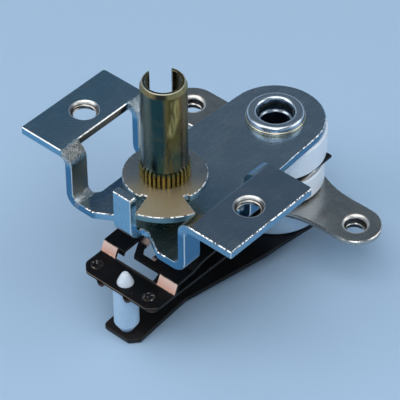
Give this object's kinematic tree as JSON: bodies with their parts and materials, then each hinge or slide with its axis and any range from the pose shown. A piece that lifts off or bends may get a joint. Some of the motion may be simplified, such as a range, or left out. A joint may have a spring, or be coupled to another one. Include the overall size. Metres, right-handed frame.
{
  "type": "adjustable bimetal thermostat",
  "caption": "Adjustable bimetal thermostat: a hollow slotted shaft in a folded mounting bracket, over spring leaves, a bimetal strip and ceramic rings held by a hollow rivet.",
  "frame": {"origin": "on the shaft's axis, level with the top faces of the two ears that are screwed under the panel", "axes": "+Z out of the panel along the shaft, +X from the shaft to the rivet through the stack, +Y to the left ear"},
  "size_m": [0.0389, 0.0361, 0.0381],
  "materials": {
    "plated_steel": "gloss",
    "zinc_steel": "gloss",
    "ceramic": "satin",
    "terminal_plating": "satin",
    "brass": "satin",
    "satin_nickel": "satin",
    "dark_spring_alloy": "satin",
    "dark_bimetal": "satin",
    "silver": "satin"
  },
  "bodies": {
    "frame": {"mounting_bracket": "plated_steel", "rivet_tube": "zinc_steel", "top_washer": "zinc_steel", "bottom_washer": "zinc_steel", "insulating_sleeve": "ceramic", "upper_insulator": "ceramic", "middle_insulator": "ceramic", "lower_insulator": "ceramic", "left_terminal": "terminal_plating", "right_terminal": "terminal_plating"},
    "tip": {"push_tip": "ceramic"},
    "shaft": {"adjusting_shaft": "brass", "stop_washer": "satin_nickel", "calibration_screw": "zinc_steel"},
    "contact_arm": {"contact_leaf": "dark_spring_alloy", "ceramic_pin": "ceramic", "moving_contact": "silver"},
    "setting_arm": {"setting_leaf": "dark_spring_alloy", "fixed_contact": "silver"},
    "bimetal": {"bimetal_strip": "dark_bimetal"}
  },
  "joints": [
    {"name": "screw_feed", "type": "slide", "parent": "frame", "child": "tip", "axis": [0, 0, -1], "range_m": [0, 0.000577]},
    {"name": "shaft_turn", "type": "hinge", "parent": "tip", "child": "shaft", "pos_m": [0, 0, 0], "axis": [0, 0, 1], "range_deg": [0, 277]},
    {"name": "setting_bend", "type": "hinge", "parent": "frame", "child": "setting_arm", "pos_m": [0.01485, 0, -0.018], "axis": [0, -1, 0], "range_deg": [0, 2.25], "deforming": ["setting_leaf"]},
    {"name": "bimetal_bend", "type": "hinge", "parent": "frame", "child": "bimetal", "pos_m": [0.01485, 0, -0.02295], "axis": [0, 1, 0], "range_deg": [0, 3], "stiffness_Nm_per_rad": 1, "deforming": ["bimetal_strip"]},
    {"name": "contact_bend", "type": "hinge", "parent": "frame", "child": "contact_arm", "pos_m": [0.01485, 0, -0.01315], "axis": [0, 1, 0], "range_deg": [0, 3.05], "deforming": ["contact_leaf"]}
  ],
  "couplings": [
    {"joint": "shaft_turn", "follows": "screw_feed", "rad_per_m": 8377.6},
    {"joint": "setting_bend", "follows": "screw_feed", "rad_per_m": 67.34},
    {"joint": "contact_bend", "follows": "bimetal_bend", "ratio": 1}
  ]
}
